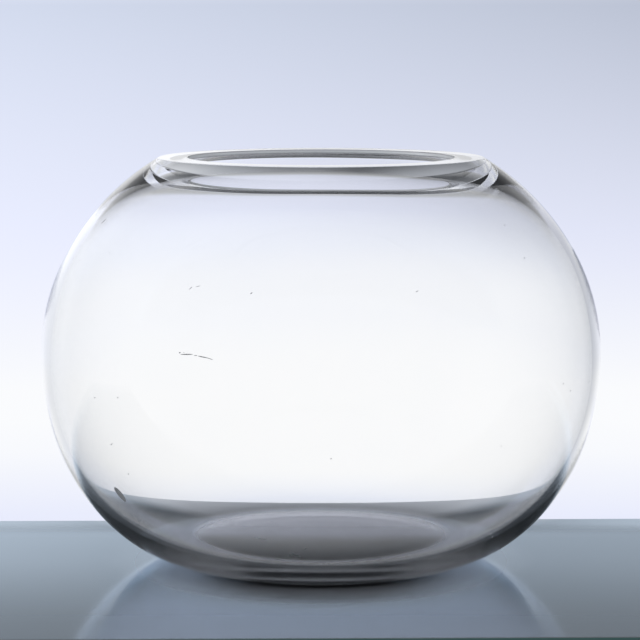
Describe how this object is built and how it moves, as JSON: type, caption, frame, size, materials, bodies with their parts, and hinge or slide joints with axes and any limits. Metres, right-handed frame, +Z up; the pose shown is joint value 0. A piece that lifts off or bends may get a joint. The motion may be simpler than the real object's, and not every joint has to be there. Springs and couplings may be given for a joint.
{
  "type": "glass bowl vase",
  "caption": "Clear glass bowl vase: a round belly drawn in to a thick, flat cut rim, standing on a ground foot ring.",
  "frame": {"origin": "centre of the foot ring, on the plane that the vase stands on", "axes": "+Z up along the axis of the bowl, towards the mouth; X and Y are any two level directions, because the bowl is round"},
  "size_m": [0.2, 0.2, 0.1445],
  "materials": {
    "clear_glass": "fire-polished, clear"
  },
  "bodies": {
    "root": {"glass_bowl": "clear_glass"}
  },
  "joints": []
}
